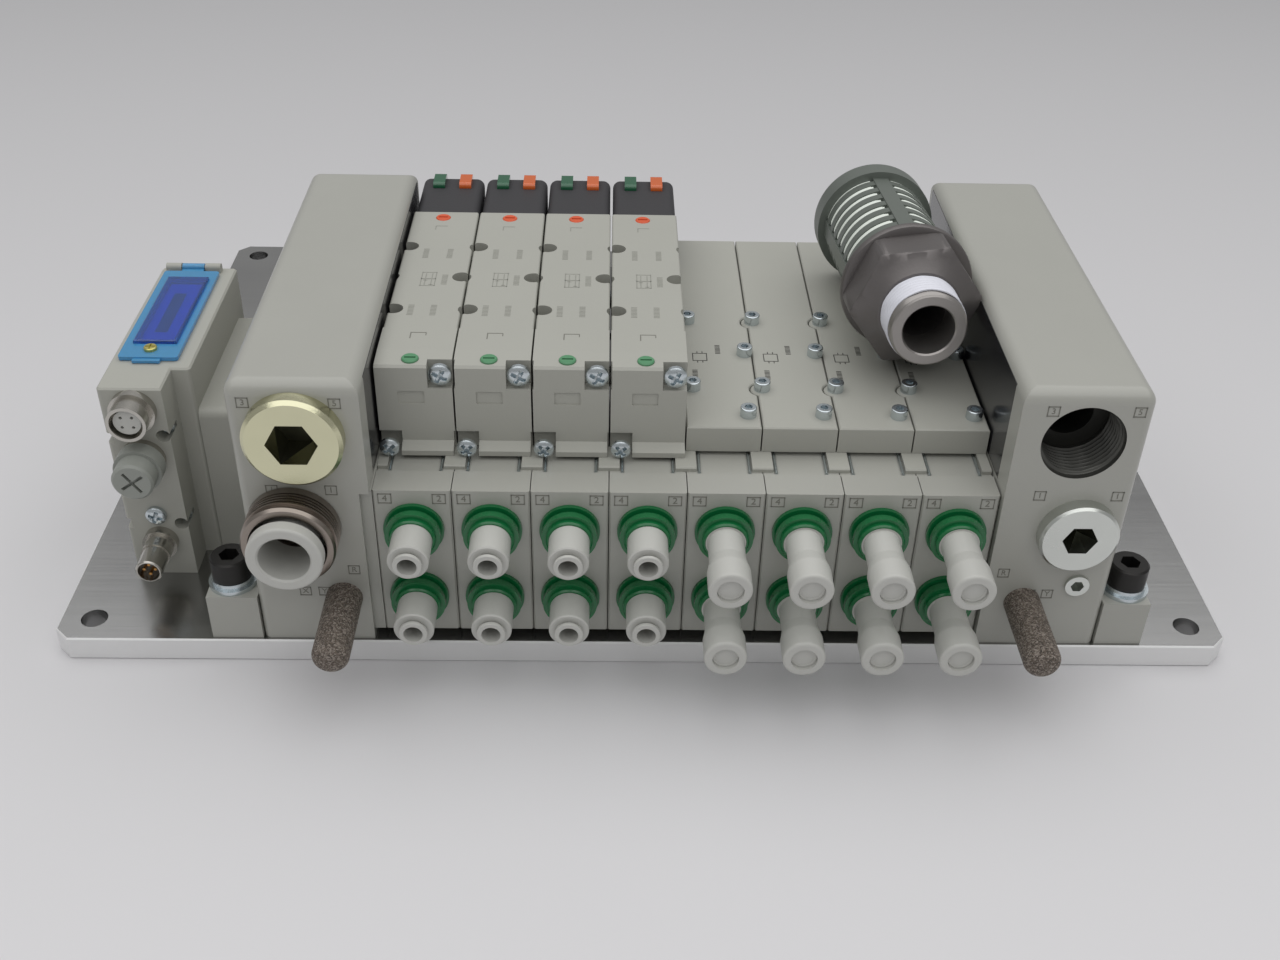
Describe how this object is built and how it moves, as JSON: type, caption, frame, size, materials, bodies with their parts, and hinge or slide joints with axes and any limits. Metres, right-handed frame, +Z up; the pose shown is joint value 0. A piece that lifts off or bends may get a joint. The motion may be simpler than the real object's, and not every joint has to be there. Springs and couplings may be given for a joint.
{
  "type": "pneumatic valve island",
  "caption": "Pneumatic valve island on a flat mounting plate: a bank of manifold stations with solenoid valves and blanking plates between two end blocks, with a serial interface unit.",
  "frame": {"origin": "centre of the mounting plate underside, which is also the centre of its four fixing holes", "axes": "+X to the right along the plate, +Y to the back, away from the tube ports, +Z up"},
  "size_m": [0.4, 0.3255, 0.129],
  "materials": {
    "milled_aluminium": "milled",
    "beige_paint": "satin",
    "beige_resin": "fine texture",
    "black_gloss": "glossy",
    "black_steel": "black oxide",
    "zinc_steel": "bright zinc",
    "yellow_zinc": "yellow passivated zinc",
    "white_zinc": "clear zinc",
    "nickel_brass": "nickel plated",
    "white_resin": "satin",
    "sintered_bronze": "sintered, granular",
    "black_rubber": "matte",
    "green_resin": "satin",
    "spool_aluminium": "ground",
    "dark_resin": "fine texture",
    "green_lens": "clear glossy",
    "orange_resin": "satin",
    "bright_green_resin": "satin",
    "clear_blue": "clear, light blue",
    "brass_screw": "passivated",
    "blue_panel": "glossy",
    "grey_resin": "satin",
    "dark_cast_metal": "die cast",
    "grey_painted_metal": "satin",
    "white_element": "porous"
  },
  "bodies": {
    "island": {"blanking_plates": "beige_resin", "blanking_screws": "zinc_steel", "breather_filters": "sintered_bronze", "clip_tabs": "beige_resin", "connector_cap": "grey_resin", "connector_inserts": "white_resin", "connector_shells": "nickel_brass", "display_panel": "blue_panel", "fitting_bodies": "white_resin", "foot_bolts": "black_steel", "foot_washers": "zinc_steel", "indicator_lenses": "green_lens", "inner_side_plates": "black_gloss", "interface_housing": "beige_resin", "interface_screws": "zinc_steel", "junction_housing": "beige_resin", "left_end_block": "beige_paint", "left_exhaust_plug": "yellow_zinc", "left_seal_plate": "beige_paint", "manifold_blocks": "beige_paint", "mounting_plate": "milled_aluminium", "pilot_covers": "dark_resin", "port_collars": "green_resin", "retaining_clips": "zinc_steel", "right_blanking_plugs": "white_zinc", "right_end_block": "beige_paint", "silencer_body": "dark_cast_metal", "silencer_cage": "grey_painted_metal", "silencer_element": "white_element", "supply_fitting_body": "nickel_brass", "tie_rods": "zinc_steel", "tube_plugs": "white_resin", "valve_body_1": "beige_resin", "valve_body_2": "beige_resin", "valve_body_3": "beige_resin", "valve_body_4": "beige_resin", "valve_end_covers": "beige_resin", "valve_gaskets": "black_rubber", "valve_screws": "zinc_steel", "valve_spools": "spool_aluminium"},
    "release_ring_1": {"release_ring_1": "white_resin"},
    "release_ring_2": {"release_ring_2": "white_resin"},
    "release_ring_3": {"release_ring_3": "white_resin"},
    "release_ring_4": {"release_ring_4": "white_resin"},
    "release_ring_5": {"release_ring_5": "white_resin"},
    "release_ring_6": {"release_ring_6": "white_resin"},
    "release_ring_7": {"release_ring_7": "white_resin"},
    "release_ring_8": {"release_ring_8": "white_resin"},
    "supply_release_ring": {"supply_release_ring": "white_resin"},
    "front_override_1": {"front_override_1": "bright_green_resin"},
    "front_override_2": {"front_override_2": "bright_green_resin"},
    "front_override_3": {"front_override_3": "bright_green_resin"},
    "front_override_4": {"front_override_4": "bright_green_resin"},
    "rear_override_1": {"rear_override_1": "orange_resin"},
    "rear_override_2": {"rear_override_2": "orange_resin"},
    "rear_override_3": {"rear_override_3": "orange_resin"},
    "rear_override_4": {"rear_override_4": "orange_resin"},
    "window_lid": {"window_lid": "clear_blue", "lid_screw": "brass_screw"}
  },
  "joints": [
    {"name": "release_ring_1_press", "type": "slide", "parent": "island", "child": "release_ring_1", "axis": [0, 1, 0], "range_m": [0, 0.001], "stiffness_N_per_m": 800},
    {"name": "release_ring_2_press", "type": "slide", "parent": "island", "child": "release_ring_2", "axis": [0, 1, 0], "range_m": [0, 0.001], "stiffness_N_per_m": 800},
    {"name": "release_ring_3_press", "type": "slide", "parent": "island", "child": "release_ring_3", "axis": [0, 1, 0], "range_m": [0, 0.001], "stiffness_N_per_m": 800},
    {"name": "release_ring_4_press", "type": "slide", "parent": "island", "child": "release_ring_4", "axis": [0, 1, 0], "range_m": [0, 0.001], "stiffness_N_per_m": 800},
    {"name": "release_ring_5_press", "type": "slide", "parent": "island", "child": "release_ring_5", "axis": [0, 1, 0], "range_m": [0, 0.001], "stiffness_N_per_m": 800},
    {"name": "release_ring_6_press", "type": "slide", "parent": "island", "child": "release_ring_6", "axis": [0, 1, 0], "range_m": [0, 0.001], "stiffness_N_per_m": 800},
    {"name": "release_ring_7_press", "type": "slide", "parent": "island", "child": "release_ring_7", "axis": [0, 1, 0], "range_m": [0, 0.001], "stiffness_N_per_m": 800},
    {"name": "release_ring_8_press", "type": "slide", "parent": "island", "child": "release_ring_8", "axis": [0, 1, 0], "range_m": [0, 0.001], "stiffness_N_per_m": 800},
    {"name": "supply_release_ring_press", "type": "slide", "parent": "island", "child": "supply_release_ring", "axis": [0, 1, 0], "range_m": [0, 0.0015], "stiffness_N_per_m": 1200},
    {"name": "front_override_1_press", "type": "slide", "parent": "island", "child": "front_override_1", "axis": [0, 0, -1], "range_m": [0, 0.002], "stiffness_N_per_m": 1500},
    {"name": "front_override_2_press", "type": "slide", "parent": "island", "child": "front_override_2", "axis": [0, 0, -1], "range_m": [0, 0.002], "stiffness_N_per_m": 1500},
    {"name": "front_override_3_press", "type": "slide", "parent": "island", "child": "front_override_3", "axis": [0, 0, -1], "range_m": [0, 0.002], "stiffness_N_per_m": 1500},
    {"name": "front_override_4_press", "type": "slide", "parent": "island", "child": "front_override_4", "axis": [0, 0, -1], "range_m": [0, 0.002], "stiffness_N_per_m": 1500},
    {"name": "rear_override_1_press", "type": "slide", "parent": "island", "child": "rear_override_1", "axis": [0, 0, -1], "range_m": [0, 0.002], "stiffness_N_per_m": 1500},
    {"name": "rear_override_2_press", "type": "slide", "parent": "island", "child": "rear_override_2", "axis": [0, 0, -1], "range_m": [0, 0.002], "stiffness_N_per_m": 1500},
    {"name": "rear_override_3_press", "type": "slide", "parent": "island", "child": "rear_override_3", "axis": [0, 0, -1], "range_m": [0, 0.002], "stiffness_N_per_m": 1500},
    {"name": "rear_override_4_press", "type": "slide", "parent": "island", "child": "rear_override_4", "axis": [0, 0, -1], "range_m": [0, 0.002], "stiffness_N_per_m": 1500},
    {"name": "window_lid_hinge", "type": "hinge", "parent": "island", "child": "window_lid", "pos_m": [-0.168, -0.029, 0.0877], "axis": [-1, 0, 0], "range_deg": [0, 100]}
  ]
}
